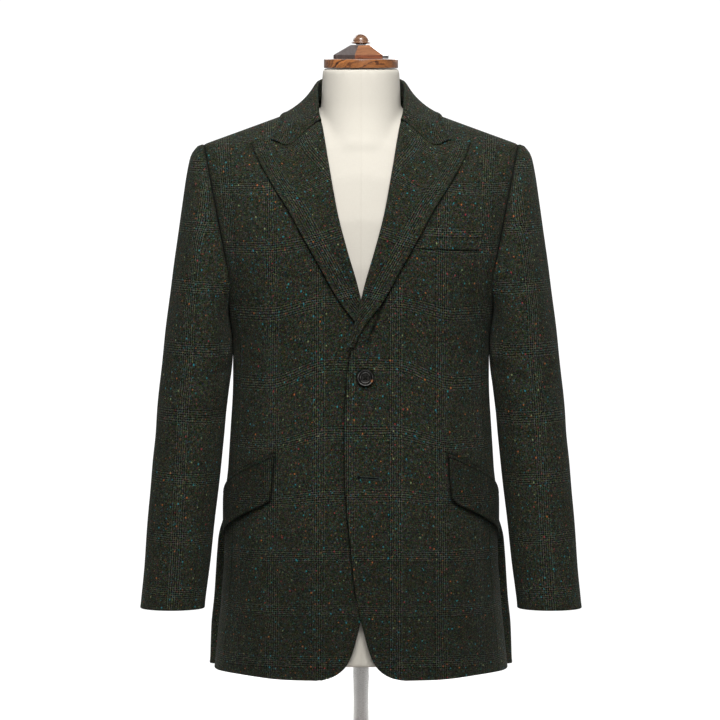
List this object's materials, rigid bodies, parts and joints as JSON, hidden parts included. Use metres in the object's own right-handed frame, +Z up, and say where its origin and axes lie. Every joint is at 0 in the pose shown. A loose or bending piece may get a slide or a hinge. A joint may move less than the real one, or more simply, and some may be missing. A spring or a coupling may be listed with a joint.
{
  "type": "tweed hacking jacket on a dress form",
  "caption": "Single-breasted tweed hacking jacket with peak lapels, slanted flapped pockets and side vents, standing on a limbless dress form with a round base.",
  "frame": {"origin": "centre of the base's underside, on the floor", "axes": "+Z up, the jacket's front faces -Y and the wearer's left is +X"},
  "size_m": [0.6154, 0.32, 1.0025],
  "materials": {
    "tweed": "rough wool tweed with a faint check and coloured flecks",
    "linen": "plain woven linen cover, drawn tight",
    "varnished_wood": "varnished brown wood",
    "horn": "polished dark horn with paler swirls",
    "brushed_steel": "brushed"
  },
  "bodies": {
    "root": {"front_left": "tweed", "front_right": "tweed", "side_left": "tweed", "side_right": "tweed", "back_left": "tweed", "back_right": "tweed", "lapel_left": "tweed", "lapel_right": "tweed", "collar": "tweed", "top_sleeve_left": "tweed", "top_sleeve_right": "tweed", "under_sleeve_left": "tweed", "under_sleeve_right": "tweed", "flap_left": "tweed", "flap_right": "tweed", "jet_left": "tweed", "jet_right": "tweed", "breast_welt": "tweed", "button_top": "horn", "button_low": "horn", "form_torso": "linen", "neck_cap": "varnished_wood", "neck_block": "varnished_wood", "finial": "varnished_wood", "base": "varnished_wood", "pole": "brushed_steel"}
  },
  "joints": []
}
